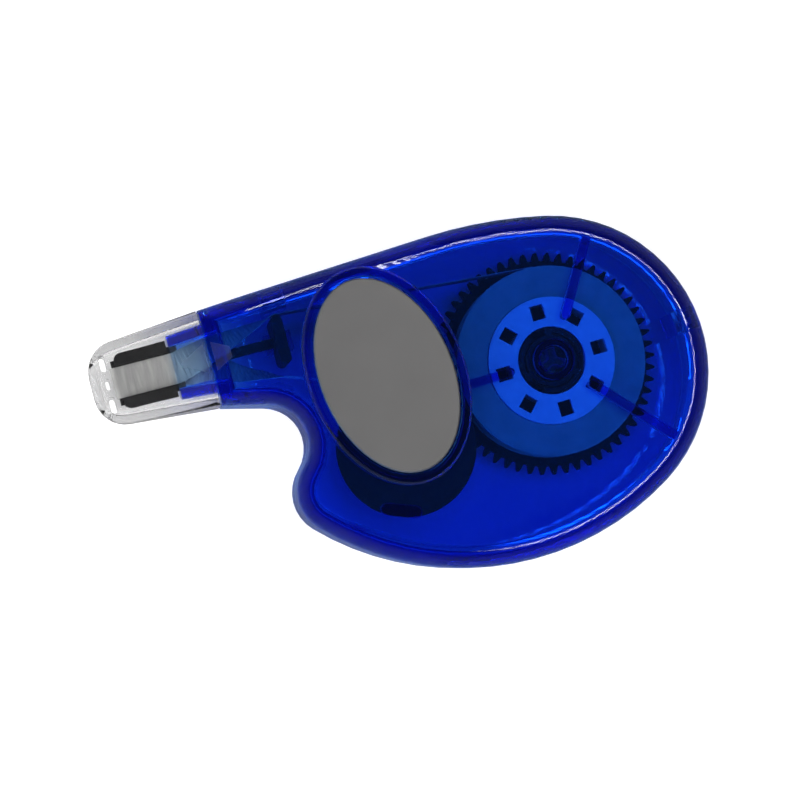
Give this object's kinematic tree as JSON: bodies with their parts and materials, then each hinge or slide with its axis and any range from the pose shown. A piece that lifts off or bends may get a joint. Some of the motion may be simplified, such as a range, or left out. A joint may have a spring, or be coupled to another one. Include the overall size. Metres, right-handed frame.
{
  "type": "correction tape roller",
  "caption": "Flat hand-held correction tape roller: see-through teardrop case with finger notch and oval plate, geared tape reels, applicator head and pull-off vented nose cap.",
  "frame": {"origin": "centre of the assembly's box, on the flat back the roller lies on", "axes": "+X along the length, away from the nose, +Y towards the straight upper edge, +Z out of the face with the oval plate"},
  "size_m": [0.0974, 0.0544, 0.0161],
  "materials": {
    "blue_shell": "see-through moulded",
    "clear_cap": "clear moulded",
    "black_plastic": "satin",
    "gear_plastic": "satin",
    "core_plastic": "satin",
    "plate": "grey satin mirror",
    "adhesive": "foam pad",
    "coated_tape": "dry white coating",
    "bare_film": "release film",
    "film_disc": "thin film"
  },
  "bodies": {
    "housing": {"front_shell": "blue_shell", "back_shell": "blue_shell", "mirror_plate": "plate", "plate_adhesive": "adhesive", "applicator_head": "black_plastic", "coated_tape_run": "coated_tape", "spent_film_run": "bare_film"},
    "spool": {"supply_core": "core_plastic", "tape_pack": "coated_tape", "lower_film_disc": "film_disc", "upper_film_disc": "film_disc"},
    "drive": {"supply_gear": "gear_plastic", "clutch_spring": "black_plastic"},
    "take_up": {"take_up_gear": "gear_plastic", "take_up_flange": "gear_plastic", "used_film": "bare_film", "film_clip": "black_plastic"},
    "cap": {"nose_cap": "clear_cap"}
  },
  "joints": [
    {"name": "spool_spin", "type": "hinge", "parent": "housing", "child": "spool", "pos_m": [0.02369, 0.00284, 0.0075], "axis": [0, 0, 1], "continuous": true},
    {"name": "drive_spin", "type": "hinge", "parent": "housing", "child": "drive", "pos_m": [0.02369, 0.00284, 0.0075], "axis": [0, 0, 1], "continuous": true},
    {"name": "take_up_spin", "type": "hinge", "parent": "housing", "child": "take_up", "pos_m": [-0.00268, -0.00464, 0.0075], "axis": [0, 0, 1], "continuous": true},
    {"name": "cap_pull", "type": "slide", "parent": "housing", "child": "cap", "axis": [-1, 0, 0], "range_m": [0, 0.03]}
  ],
  "couplings": [
    {"joint": "drive_spin", "follows": "spool_spin", "ratio": 1},
    {"joint": "take_up_spin", "follows": "spool_spin", "ratio": -1.8065}
  ]
}
